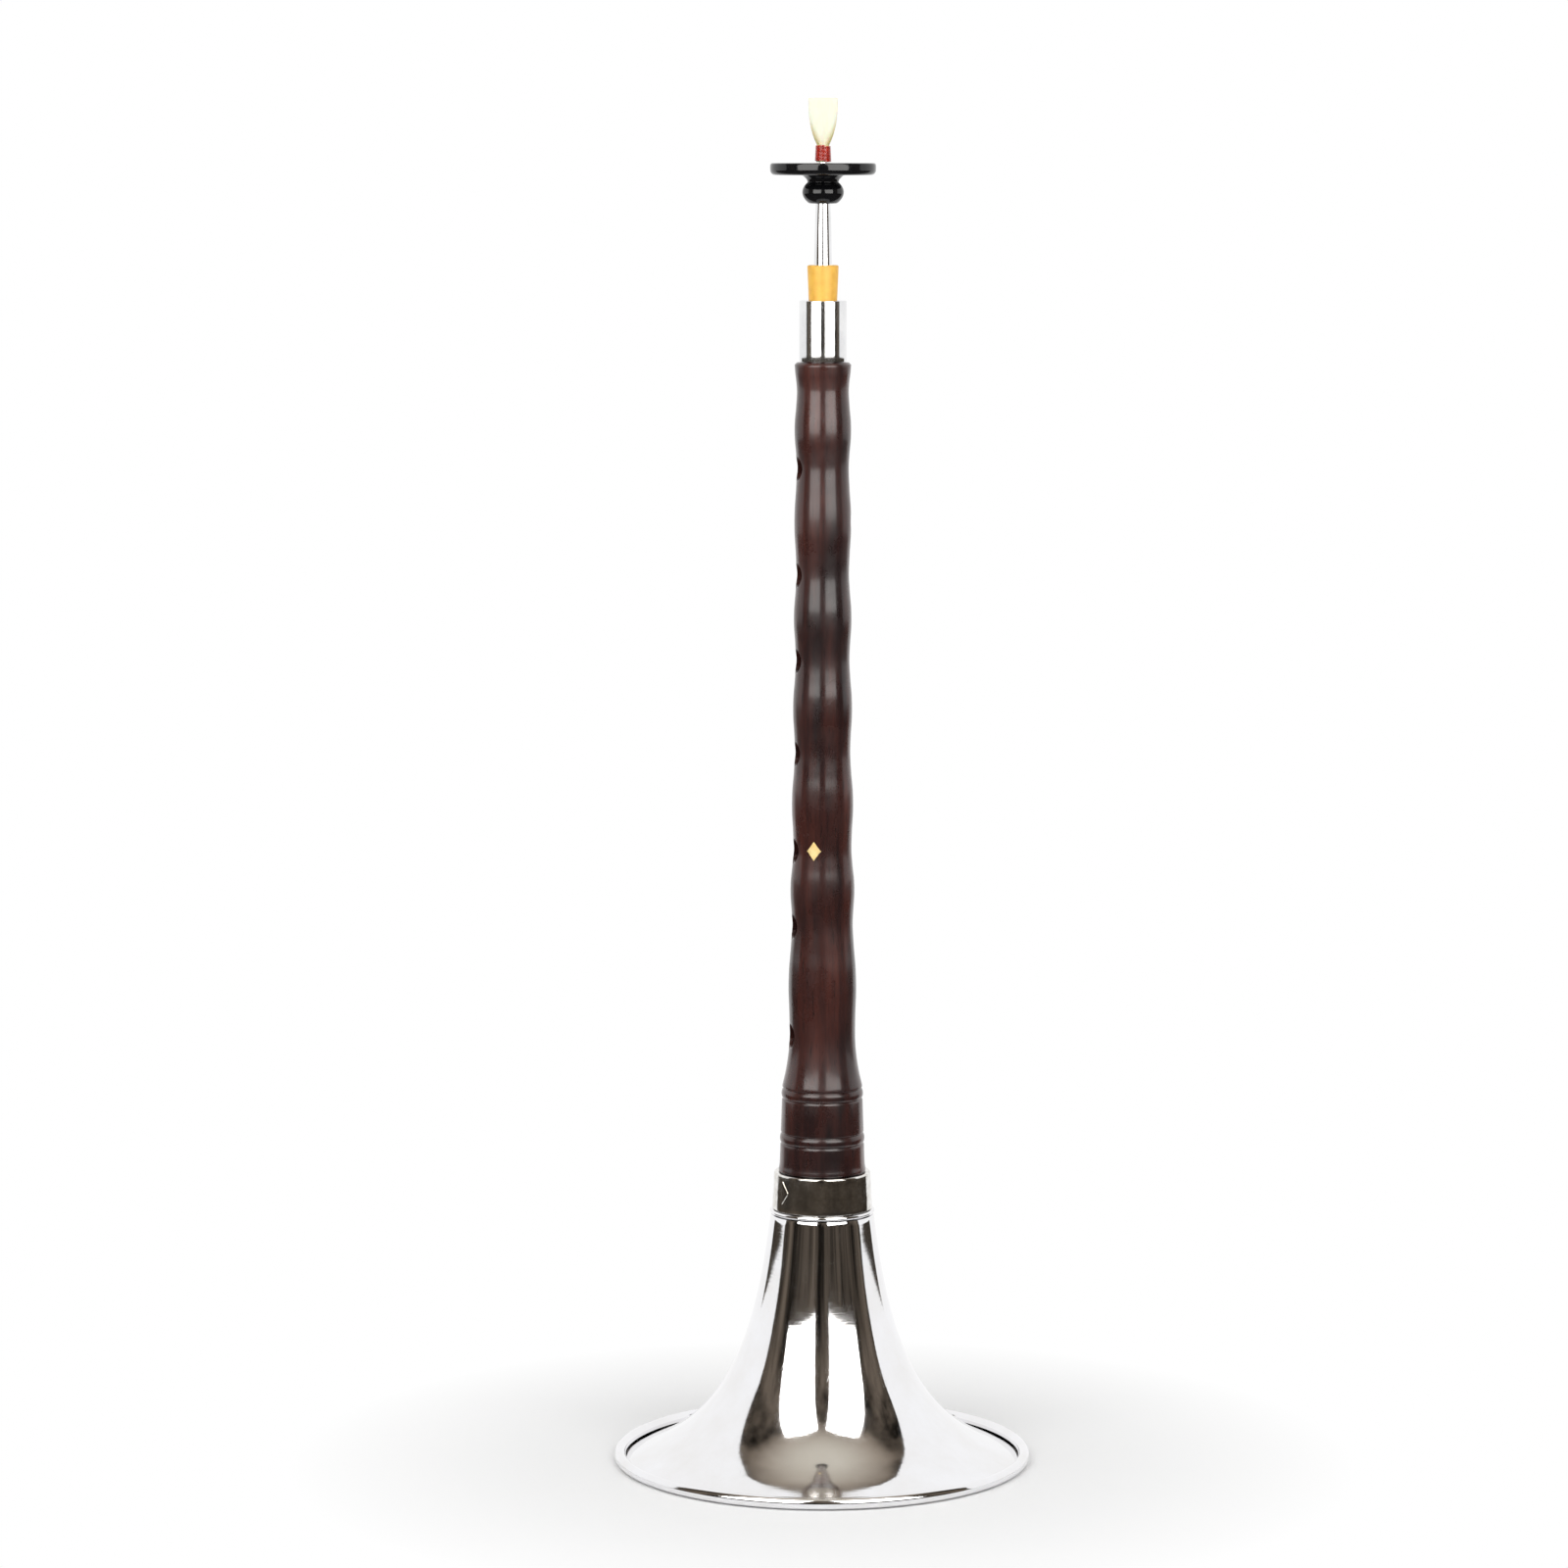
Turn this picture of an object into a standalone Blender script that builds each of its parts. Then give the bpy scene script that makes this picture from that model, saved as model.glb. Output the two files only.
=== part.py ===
"""A suona: a double-reed horn with a turned wooden pipe and a flared metal bell.

It stands on the rim of its bell. Metres, +Z up, origin at the centre of the rim's flat land.
The finger holes face -Y and the thumb hole faces +Y. Every turned piece has its origin on the
horn's axis, at the height where it seats.
"""
import math

import bmesh
import bpy
from mathutils import Vector

# Clearances between pieces that touch on the real horn
FIT = 0.0003
FINE_FIT = 0.00015

# Bell: spun sheet, its edge rolled round a wire
RIM_RADIUS = 0.0625
RIM_ROLL = 0.0035
SHEET = 0.0006
RIM_LAND = 0.0012
FLARE_HEIGHT = 0.0752
FLARE_THROAT = 0.0154
FLARE_REACH = 0.023
FLARE_POWER = 1.15
ROLL_END = math.radians(198)

# Bell's neck, the wire ring at its foot and the band round it
NECK_MOUTH = 0.0124
NECK_SPREAD = 0.0006
RING_WIRE = 0.0012
BAND_HEIGHT = 0.0110
BAND_WALL = 0.0011

# Pipe: lengths are measured up from its shoulder, which seats on the band
PIPE_LENGTH = 0.2409
PIPE_HEAD = 0.00835
PIPE_SPREAD = 0.00255
SPREAD_POWER = 2.4
WAIST_DEPTH = 0.0007
HEAD_WAIST = 0.0086
HOLE_STATIONS = (0.0409, 0.0738, 0.0965, 0.1254, 0.1530, 0.1784, 0.2098)
HOLE_RADIUS = 0.0034
THUMB_HOLE_RADIUS = 0.0032
FOOT_HEIGHT = 0.0257
FOOT_TOP = 0.0119
FOOT_GROWTH = 0.00085
FOOT_FLARE_POWER = 1.8
LIP_OVERHANG = 0.0006
LIP_HEIGHT = 0.0011
RING_STATIONS = (0.0099, 0.0234)
RING_SPACING = 0.0030
GROOVE_DEPTH = 0.0004
GROOVE_WIDTH = 0.0009
BORE_HEAD = 0.0032
BORE_FOOT = 0.0087
TENON_LENGTH = 0.0132
TENON_PLAY = 0.0004
CORK_THICKNESS = 0.0007
CORK_LENGTH = 0.0090

# Ferrule on the pipe's spigot
FERRULE_RADIUS = 0.00697
FERRULE_HEIGHT = 0.0178
FERRULE_WALL = 0.0006

# Core plug: a taper whose tail sits in the pipe's socket
PLUG_RADIUS = 0.0046
PLUG_TAPER = 0.042
PLUG_EXPOSED = 0.0103
PLUG_TAIL = 0.0140
PLUG_TRAVEL = 0.0040
PLUG_CHAMFER = 0.0003

# Staple: heights are measured up from the plug's top
STAPLE_TAIL = 0.0120
STAPLE_EXPOSED = 0.0180
STAPLE_FOOT = 0.00266
STAPLE_WAIST = 0.00215
STAPLE_SHOULDER = 0.00135
STAPLE_TIP = 0.00125
STAPLE_WALL = 0.00035
TIP_LENGTH = 0.0055

# Lip disc, turned in one with the ball under it and the cove between them
DISC_RADIUS = 0.0155
DISC_THICKNESS = 0.0035
BALL_RADIUS = 0.0061
BALL_HEIGHT = 0.00615
BALL_FOOT = 0.0040
BALL_NECK = 0.00455
COVE_HEIGHT = 0.0021
COVE_SPREAD = 0.0019

# Reed: a cane tube, round at its base and flattened to two blades at its tip
REED_LENGTH = 0.0186
REED_BASE = 0.00195
REED_THROAT = 0.00175
REED_SHOULDER = 0.00358
REED_TIP = 0.00430
SHOULDER_RISE = 0.0015
CANE_WALL = 0.00040
BLADE_THICKNESS = 0.00030
TIP_OPENING = 0.0008
REED_TURN = math.radians(78)
BINDING_HEIGHT = 0.0049
BINDING_THICKNESS = 0.00036

# Heights at which the pieces seat
RING_SEAT = FLARE_HEIGHT + FIT
BAND_SEAT = RING_SEAT + RING_WIRE + FIT
BELL_TOP = BAND_SEAT + BAND_HEIGHT
PIPE_SEAT = BELL_TOP + FIT
FERRULE_SEAT = PIPE_SEAT + PIPE_LENGTH + FIT
FERRULE_TOP = FERRULE_SEAT + FERRULE_HEIGHT
PLUG_TOP = FERRULE_TOP + PLUG_EXPOSED
DISC_SEAT = PLUG_TOP + STAPLE_EXPOSED
DISC_TOP = DISC_SEAT + BALL_HEIGHT + COVE_HEIGHT + DISC_THICKNESS
REED_SEAT = DISC_TOP + FIT

# Radii that follow the bell's neck
TENON_RADIUS = NECK_MOUTH - TENON_PLAY
LIP_RADIUS = NECK_MOUTH + LIP_OVERHANG
FOOT_BASE = FOOT_TOP + FOOT_GROWTH

# Faces round each turned piece
BELL_STEPS = 48
PIPE_STEPS = 30
FITTING_STEPS = 28
STAPLE_STEPS = 24
REED_STEPS = 24
HOLE_STEPS = 16


def clear_scene():
    for thing in list(bpy.data.objects):
        bpy.data.objects.remove(thing, do_unlink=True)


def finish(name, colour, roughness, metallic=0.0):
    """A material with the colour and gloss of one surface of the horn."""
    made = bpy.data.materials.new(name)
    made.use_nodes = True
    shader = made.node_tree.nodes["Principled BSDF"]
    shader.inputs["Base Color"].default_value = (*colour, 1.0)
    shader.inputs["Roughness"].default_value = roughness
    shader.inputs["Metallic"].default_value = metallic
    return made


def place(name, mesh, seat, surface, parent=None):
    """An object for the mesh, its origin on the horn's axis at the height of its seat."""
    mesh.materials.append(surface)
    piece = bpy.data.objects.new(name, mesh)
    bpy.context.scene.collection.objects.link(piece)
    piece.parent = parent
    piece.location.z = seat - (parent["seat"] if parent else 0.0)
    piece["seat"] = seat
    return piece


def mesh_from(name, shape, edge_angle=40):
    """A smooth-shaded mesh that keeps its turned edges sharp."""
    bmesh.ops.recalc_face_normals(shape, faces=shape.faces)
    mesh = bpy.data.meshes.new(name)
    shape.to_mesh(mesh)
    shape.free()
    mesh.shade_smooth()
    mesh.set_sharp_from_angle(angle=math.radians(edge_angle))
    return mesh


def turned(name, section, steps):
    """The ring that a closed section of (radius, height) points sweeps round the axis."""
    shape = bmesh.new()
    corners = [shape.verts.new((radius, 0.0, height)) for radius, height in section]
    edges = [shape.edges.new((corners[i - 1], corners[i])) for i in range(len(corners))]
    bmesh.ops.spin(shape, geom=corners + edges, cent=(0, 0, 0), axis=(0, 0, 1),
                   angle=math.tau, steps=steps, use_merge=True)
    bmesh.ops.remove_doubles(shape, verts=shape.verts, dist=0.000001)
    return mesh_from(name, shape)


def arc(centre, radius, start, end, steps):
    """Points of a round stretch of a section, from one angle to another."""
    points = []
    for i in range(steps + 1):
        angle = start + (end - start) * i / steps
        points.append((centre[0] + radius * math.cos(angle), centre[1] + radius * math.sin(angle)))
    return points


def between(low, high, steps):
    """Evenly spaced values from low to high, both ends included."""
    return [low + (high - low) * i / steps for i in range(steps + 1)]


def flare_radius(height):
    """Outer radius of the bell: wide and flat at the rim, steep at the throat."""
    foot = RIM_RADIUS - RIM_ROLL / 2 - RIM_LAND
    share = (FLARE_REACH / (FLARE_HEIGHT - SHEET + FLARE_REACH)) ** FLARE_POWER
    core = (FLARE_THROAT - foot * share) / (1 - share)
    return core + (foot - core) * (FLARE_REACH / (height - SHEET + FLARE_REACH)) ** FLARE_POWER


def neck_outer(height):
    """Outer radius of the bell's neck, which spreads a little towards its foot."""
    down = (BELL_TOP - height) / (BELL_TOP - FLARE_HEIGHT)
    return NECK_MOUTH + SHEET + NECK_SPREAD * down


def flare_outline(steps):
    """Outer and inner points of the flare, the sheet's thickness apart, rim to throat."""
    span = FLARE_HEIGHT - SHEET
    heights = [SHEET + span * share ** 1.7 for share in between(0.0, 1.0, steps)]
    outer = [(flare_radius(height), height) for height in heights]
    rise = Vector(outer[1]) - Vector(outer[0])
    lean = math.atan2(rise.y, -rise.x)
    inner = [(outer[0][0] - SHEET * math.tan(lean / 2), 0.0)]
    for below, here, above in zip(outer, outer[1:], outer[2:]):
        run = (Vector(above) - Vector(below)).normalized()
        inner.append((here[0] - SHEET * run.y, here[1] + SHEET * run.x))
    inner.append((FLARE_THROAT - SHEET, FLARE_HEIGHT - SHEET))
    return outer, inner


def bell_section():
    """The sheet in one line: neck, shoulder, flare, land on the ground and rolled edge."""
    outer, inner = flare_outline(10)
    roll = (RIM_RADIUS - RIM_ROLL / 2, RIM_ROLL / 2)
    bottom = -math.pi / 2
    outside = arc(roll, RIM_ROLL / 2, bottom, ROLL_END, 9)
    inside = arc(roll, RIM_ROLL / 2 - SHEET, ROLL_END, bottom, 6)
    neck_top = BELL_TOP - BAND_WALL - FIT
    neck_foot = neck_outer(FLARE_HEIGHT)
    neck = [(neck_foot, FLARE_HEIGHT), (neck_outer(neck_top), neck_top),
            (neck_outer(neck_top) - SHEET, neck_top), (neck_foot - SHEET, FLARE_HEIGHT - SHEET)]
    return outer + neck + inner[::-1] + outside + inside


def make_bell():
    nickel = finish("bell_nickel", (0.80, 0.77, 0.72), 0.10, 1.0)
    return place("bell_shell", turned("bell_shell", bell_section(), BELL_STEPS), 0.0, nickel)


def make_rim_wire(bell):
    """The wire inside the rolled edge."""
    iron = finish("rim_iron", (0.35, 0.34, 0.33), 0.5, 1.0)
    centre = (RIM_RADIUS - RIM_ROLL / 2, RIM_ROLL / 2)
    section = arc(centre, RIM_ROLL / 2 - SHEET - FIT, 0.0, math.tau * 4 / 5, 4)
    place("rim_wire", turned("rim_wire", section, BELL_STEPS), 0.0, iron, bell)


def make_neck_ring(bell):
    """A round wire that covers the joint of flare and band."""
    nickel = finish("ring_nickel", (0.82, 0.79, 0.74), 0.12, 1.0)
    half = RING_WIRE / 2
    middle = (FLARE_THROAT - half / 2, half)
    flat = neck_outer(RING_SEAT) + FIT
    section = [(flat, RING_WIRE), (flat, 0.0)] + arc(middle, half, -math.pi / 2, math.pi / 2, 4)
    place("neck_ring", turned("neck_ring", section, PIPE_STEPS), RING_SEAT, nickel, bell)


def make_neck_band(bell):
    """The band round the neck, closed over the sheet's end by its rounded top edge."""
    nickel = finish("band_nickel", (0.78, 0.75, 0.70), 0.22, 1.0)
    foot = neck_outer(BAND_SEAT) + FIT
    head = neck_outer(BELL_TOP) + FIT
    curve = BAND_WALL / 2
    corner = arc((head + BAND_WALL - curve, BAND_HEIGHT - curve), curve, 0.0, math.pi / 2, 3)
    section = [(foot + BAND_WALL, 0.0)] + corner
    section += [(NECK_MOUTH, BAND_HEIGHT), (NECK_MOUTH, BAND_HEIGHT - BAND_WALL)]
    section += [(head, BAND_HEIGHT - BAND_WALL), (foot, 0.0)]
    place("neck_band", turned("neck_band", section, PIPE_STEPS), BAND_SEAT, nickel, bell)


def crest_radius(height):
    """Radius of the pipe over its swellings, which grow faster towards the bell."""
    down = (PIPE_LENGTH - height) / (PIPE_LENGTH - FOOT_HEIGHT)
    return PIPE_HEAD + PIPE_SPREAD * down ** SPREAD_POWER


def pipe_waists():
    """Heights of the pipe's waists: one at each finger hole and one under the head."""
    return list(HOLE_STATIONS) + [PIPE_LENGTH - HEAD_WAIST]


def pipe_radius(height):
    """Outer radius of the pipe above its foot: a waist at each hole, a swelling between."""
    waists = pipe_waists()
    if height < waists[0]:
        start = crest_radius(waists[0]) - WAIST_DEPTH
        down = (waists[0] - height) / (waists[0] - FOOT_HEIGHT)
        return start + (FOOT_TOP - start) * down ** FOOT_FLARE_POWER
    phase = (height - waists[-1]) / HEAD_WAIST / 2
    for low, high in zip(waists, waists[1:]):
        if height <= high:
            phase = (height - low) / (high - low)
            break
    return crest_radius(height) - WAIST_DEPTH * math.cos(math.pi * phase) ** 2


def foot_radius(height):
    """Outer radius of the straight-sided foot below the swellings."""
    return FOOT_BASE + (FOOT_TOP - FOOT_BASE) * (height - LIP_HEIGHT) / (FOOT_HEIGHT - LIP_HEIGHT)


def bore_radius(height):
    """Radius of the conical bore, measured up from the shoulder."""
    up = (height + TENON_LENGTH) / (PIPE_LENGTH + TENON_LENGTH)
    return BORE_FOOT + (BORE_HEAD - BORE_FOOT) * up


def ring_outline(station):
    """A bead between two turned grooves."""
    points = []
    for side in (-1, 1):
        middle = station + side * RING_SPACING / 2
        for offset, depth in ((-0.5, 0.0), (0.0, GROOVE_DEPTH), (0.5, 0.0)):
            height = middle + offset * GROOVE_WIDTH
            points.append((foot_radius(height) - depth, height))
        if side < 0:
            points.append((foot_radius(station) + GROOVE_DEPTH / 2, station))
    return points


def plug_radius(height):
    """Outer radius of the plug, measured up from the ferrule's top."""
    return PLUG_RADIUS - PLUG_TAPER * (PLUG_EXPOSED - height)


def pipe_section():
    """The pipe's wall: tenon, shoulder, foot, swellings, spigot, socket and bore."""
    cork_low = -(TENON_LENGTH + CORK_LENGTH) / 2
    groove = TENON_RADIUS - CORK_THICKNESS - FIT
    tenon = [(bore_radius(-TENON_LENGTH), -TENON_LENGTH), (TENON_RADIUS, -TENON_LENGTH),
             (TENON_RADIUS, cork_low - FIT), (groove, cork_low - FIT),
             (groove, cork_low + CORK_LENGTH + FIT), (TENON_RADIUS, cork_low + CORK_LENGTH + FIT),
             (TENON_RADIUS, 0.0)]
    foot = [(LIP_RADIUS, 0.0), (LIP_RADIUS, LIP_HEIGHT / 2), (FOOT_BASE, LIP_HEIGHT * 1.6)]
    for station in RING_STATIONS:
        foot += ring_outline(station)
    foot.append((FOOT_TOP, FOOT_HEIGHT))
    waists = pipe_waists()
    heights = between(FOOT_HEIGHT, waists[0], 5)[1:]
    for low, high in zip(waists, waists[1:]):
        heights += between(low, high, 5)[1:]
    round_edge = WAIST_DEPTH
    heights += between(waists[-1], PIPE_LENGTH - round_edge, 3)[1:]
    wall = [(pipe_radius(height), height) for height in heights]
    wall.append((pipe_radius(PIPE_LENGTH) - round_edge, PIPE_LENGTH))
    spigot_radius = FERRULE_RADIUS - FERRULE_WALL - FIT
    spigot_top = PIPE_LENGTH + FERRULE_HEIGHT - FERRULE_WALL
    ferrule_top = PIPE_LENGTH + FIT + FERRULE_HEIGHT
    socket_foot = ferrule_top - PLUG_TAIL - PLUG_TRAVEL - FIT
    spigot = [(spigot_radius, PIPE_LENGTH), (spigot_radius, spigot_top),
              (plug_radius(spigot_top - ferrule_top) + FIT, spigot_top),
              (plug_radius(socket_foot - ferrule_top) + FIT + PLUG_TAPER * PLUG_TRAVEL, socket_foot),
              (bore_radius(socket_foot), socket_foot)]
    return tenon + foot + wall + spigot


def hole_cutter():
    """Rods that reach from outside the pipe to its axis, one for each hole."""
    shape = bmesh.new()
    reach = 2 * FOOT_BASE
    stations = [(station, HOLE_RADIUS, -1) for station in HOLE_STATIONS]
    stations.append(((HOLE_STATIONS[-1] + HOLE_STATIONS[-2]) / 2, THUMB_HOLE_RADIUS, 1))
    for station, radius, side in stations:
        rod = bmesh.ops.create_cone(shape, segments=HOLE_STEPS, radius1=radius, radius2=radius,
                                    depth=reach, cap_ends=True)["verts"]
        for corner in rod:
            along = corner.co.z
            corner.co = Vector((corner.co.x, side * (along + reach / 2), station - side * corner.co.y))
    mesh = mesh_from("hole_cutter", shape)
    cutter = bpy.data.objects.new("hole_cutter", mesh)
    bpy.context.scene.collection.objects.link(cutter)
    cutter.hide_render = True
    cutter.display_type = "WIRE"
    return cutter


def make_pipe(parent):
    wood = finish("rosewood", (0.055, 0.022, 0.018), 0.30)
    pipe = place("pipe", turned("pipe", pipe_section(), PIPE_STEPS), PIPE_SEAT, wood, parent)
    cutter = hole_cutter()
    cutter.parent = pipe
    cut = pipe.modifiers.new("finger_holes", "BOOLEAN")
    cut.object = cutter
    cut.operation = "DIFFERENCE"
    cut.solver = "EXACT"
    return pipe


def make_tenon_cork(bell):
    """The cork band in the tenon's groove, which grips the bell's neck."""
    cork = finish("cork", (0.55, 0.38, 0.22), 0.9)
    low = -(TENON_LENGTH + CORK_LENGTH) / 2
    inside = TENON_RADIUS - CORK_THICKNESS
    outside = NECK_MOUTH - FIT
    section = [(outside, low), (outside, low + CORK_LENGTH), (inside, low + CORK_LENGTH), (inside, low)]
    return place("tenon_cork", turned("tenon_cork", section, PIPE_STEPS), PIPE_SEAT, cork, bell)


def make_ferrule(pipe):
    """The sleeve on the spigot, closed at its top down to the plug's taper."""
    steel = finish("ferrule_steel", (0.72, 0.72, 0.72), 0.22, 1.0)
    inside = FERRULE_RADIUS - FERRULE_WALL
    mouth = plug_radius(0.0) + FIT
    curve = FERRULE_WALL / 2
    corner = arc((FERRULE_RADIUS - curve, FERRULE_HEIGHT - curve), curve, 0.0, math.pi / 2, 3)
    section = [(inside, 0.0), (FERRULE_RADIUS, 0.0)] + corner
    section += [(mouth, FERRULE_HEIGHT), (mouth, FERRULE_HEIGHT - FERRULE_WALL)]
    section.append((inside, FERRULE_HEIGHT - FERRULE_WALL))
    place("ferrule", turned("ferrule", section, FITTING_STEPS), FERRULE_SEAT, steel, pipe)


def staple_radius(height):
    """Outer radius of the staple, measured up from the plug's top."""
    hub_top = DISC_TOP - PLUG_TOP
    stations = ((-STAPLE_TAIL, STAPLE_FOOT), (0.0, STAPLE_FOOT), (STAPLE_EXPOSED, STAPLE_WAIST),
                (hub_top, STAPLE_SHOULDER), (hub_top + TIP_LENGTH, STAPLE_TIP))
    for (low, wide), (high, narrow) in zip(stations, stations[1:]):
        if height <= high:
            return wide + (narrow - wide) * (height - low) / (high - low)
    return STAPLE_TIP


def make_core_plug(pipe):
    """The tapered stopper, bored for the staple's tail with a shelf under it."""
    yellow = finish("plug_yellow", (0.90, 0.52, 0.10), 0.55)
    pocket = STAPLE_FOOT + FIT
    shelf = -STAPLE_TAIL - FIT
    foot = -PLUG_EXPOSED - PLUG_TAIL
    throat = STAPLE_FOOT - STAPLE_WALL
    wide = PLUG_RADIUS - PLUG_CHAMFER
    section = [(throat, foot), (plug_radius(-PLUG_TAIL), foot), (PLUG_RADIUS, -PLUG_CHAMFER)]
    section += [(wide, 0.0), (pocket, 0.0), (pocket, shelf), (throat, shelf)]
    return place("core_plug", turned("core_plug", section, FITTING_STEPS), PLUG_TOP, yellow, pipe)


def make_staple(plug):
    """The tapered tube from the plug's pocket to the tip inside the reed."""
    chrome = finish("staple_chrome", (0.80, 0.80, 0.80), 0.10, 1.0)
    hub_top = DISC_TOP - PLUG_TOP
    heights = [-STAPLE_TAIL, 0.0, STAPLE_EXPOSED, hub_top, hub_top + TIP_LENGTH]
    outer = [(staple_radius(height), height) for height in heights]
    inner = [(radius - STAPLE_WALL, height) for radius, height in outer]
    return place("staple", turned("staple", outer + inner[::-1], STAPLE_STEPS), PLUG_TOP, chrome, plug)


def make_lip_disc(staple):
    """The disc that the lips rest on, with its neck and ball, bored to slide on the staple."""
    horn = finish("disc_black", (0.012, 0.012, 0.014), 0.10)
    foot_angle = -math.acos(BALL_FOOT / BALL_RADIUS)
    neck_angle = math.acos(BALL_NECK / BALL_RADIUS)
    half_height = BALL_HEIGHT / (math.sin(neck_angle) - math.sin(foot_angle))
    section = [(staple_radius(STAPLE_EXPOSED) + FIT, 0.0)]
    for angle in between(foot_angle, neck_angle, 8):
        rise = math.sin(angle) - math.sin(foot_angle)
        section.append((BALL_RADIUS * math.cos(angle), half_height * rise))
    for share in between(0.0, 1.0, 3)[1:]:
        section.append((BALL_NECK + COVE_SPREAD * share ** 2, BALL_HEIGHT + COVE_HEIGHT * share))
    underside = BALL_HEIGHT + COVE_HEIGHT
    top = underside + DISC_THICKNESS
    round_low = DISC_THICKNESS * 0.4
    round_high = DISC_THICKNESS * 0.18
    section += arc((DISC_RADIUS - round_low, underside + round_low), round_low, -math.pi / 2, 0.0, 3)
    section += arc((DISC_RADIUS - round_high, top - round_high), round_high, 0.0, math.pi / 2, 2)
    section.append((staple_radius(DISC_TOP - PLUG_TOP) + FIT, top))
    place("lip_disc", turned("lip_disc", section, PIPE_STEPS), DISC_SEAT, horn, staple)


def reed_rings():
    """Half width, half thickness and flatness of the cane, base to tip, outside and inside."""
    rings = [(0.0, REED_BASE, REED_BASE, 0.0, CANE_WALL),
             (BINDING_HEIGHT, REED_THROAT, REED_THROAT, 0.0, CANE_WALL)]
    blade = REED_LENGTH - BINDING_HEIGHT
    tip_half = TIP_OPENING / 2 + BLADE_THICKNESS
    for share in (0.04, 0.10, 0.18, 0.30, 0.50, 0.75, 1.0):
        rise = blade * share
        swell = (REED_SHOULDER - REED_THROAT) * (1 - math.exp(-rise / SHOULDER_RISE))
        width = REED_THROAT + swell + (REED_TIP - REED_SHOULDER) * share
        depth = tip_half + (REED_THROAT - tip_half) * (1 - share) ** 1.4
        wall = CANE_WALL + (BLADE_THICKNESS - CANE_WALL) * share
        rings.append((BINDING_HEIGHT + rise, width, depth, share ** 0.5, wall))
    return rings


def reed_loop(shape, height, width, depth, flatness):
    """One cross-section: a circle where flatness is 0, two shallow arcs where it is 1."""
    loop = []
    for i in range(REED_STEPS):
        angle = math.tau * i / REED_STEPS
        side = math.sin(angle)
        bulge = math.copysign(abs(side) ** (1 + flatness), side)
        loop.append(shape.verts.new((width * math.cos(angle), depth * bulge, height)))
    return [shape.edges.new((loop[i - 1], loop[i])) for i in range(REED_STEPS)]


def make_reed(staple):
    """The cane tube, lofted through its cross-sections outside and inside."""
    cane = finish("reed_cane", (0.90, 0.82, 0.58), 0.6)
    shape = bmesh.new()
    outside = []
    inside = []
    for height, width, depth, flatness, wall in reed_rings():
        outside.append(reed_loop(shape, height, width, depth, flatness))
        inside.append(reed_loop(shape, height, width - wall, depth - wall, flatness))
    closed = outside + inside[::-1] + [outside[0]]
    for low, high in zip(closed, closed[1:]):
        bmesh.ops.bridge_loops(shape, edges=low + high)
    reed = place("reed", mesh_from("reed", shape), REED_SEAT, cane, staple)
    reed.rotation_euler.z = REED_TURN
    return reed


def make_reed_binding(reed):
    """The wire wrap on the reed's base: too fine for its turns to show from a step away."""
    enamel = finish("binding_enamel", (0.45, 0.03, 0.015), 0.18, 0.6)
    inner = [(REED_BASE + FINE_FIT, 0.0), (REED_THROAT + FINE_FIT, BINDING_HEIGHT)]
    outer = [(radius + BINDING_THICKNESS, height) for radius, height in inner]
    curve = BINDING_THICKNESS / 2
    crown = (outer[1][0] - curve, BINDING_HEIGHT)
    section = [inner[0], outer[0], (outer[1][0], BINDING_HEIGHT - curve), crown, inner[1]]
    place("reed_binding", turned("reed_binding", section, STAPLE_STEPS), REED_SEAT, enamel, reed)


def main():
    clear_scene()
    bell = make_bell()
    make_rim_wire(bell)
    make_neck_ring(bell)
    make_neck_band(bell)
    cork = make_tenon_cork(bell)
    pipe = make_pipe(cork)
    make_ferrule(pipe)
    plug = make_core_plug(pipe)
    staple = make_staple(plug)
    make_lip_disc(staple)
    reed = make_reed(staple)
    make_reed_binding(reed)


main()
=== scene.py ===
"""The suona's look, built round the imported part: turned metal, wood, cane and a plain studio."""
import math

import bmesh
import bpy
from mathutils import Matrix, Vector


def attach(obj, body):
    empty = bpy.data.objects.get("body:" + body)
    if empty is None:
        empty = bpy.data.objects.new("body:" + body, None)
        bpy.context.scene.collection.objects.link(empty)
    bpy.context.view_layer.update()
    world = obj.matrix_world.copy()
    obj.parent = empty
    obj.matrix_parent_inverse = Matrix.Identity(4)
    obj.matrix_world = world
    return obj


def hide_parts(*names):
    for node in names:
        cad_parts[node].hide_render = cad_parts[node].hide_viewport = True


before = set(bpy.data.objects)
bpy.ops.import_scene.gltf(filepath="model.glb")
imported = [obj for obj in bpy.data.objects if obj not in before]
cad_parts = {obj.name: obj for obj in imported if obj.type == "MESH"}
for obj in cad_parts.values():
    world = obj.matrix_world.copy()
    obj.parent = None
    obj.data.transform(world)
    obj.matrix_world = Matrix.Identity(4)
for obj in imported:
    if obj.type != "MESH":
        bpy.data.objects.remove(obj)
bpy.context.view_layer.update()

# The photograph's camera, fitted to the rim, the collar and the reed.
CAMERA_AZIMUTH = 78.0
CAMERA_REACH = 1.5587
CAMERA_HEIGHT = 0.3939
CAMERA_PITCH = 6.93
CAMERA_YAW = 0.42
CAMERA_LENS = 121.57
SENSOR_WIDTH = 36.0

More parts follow.
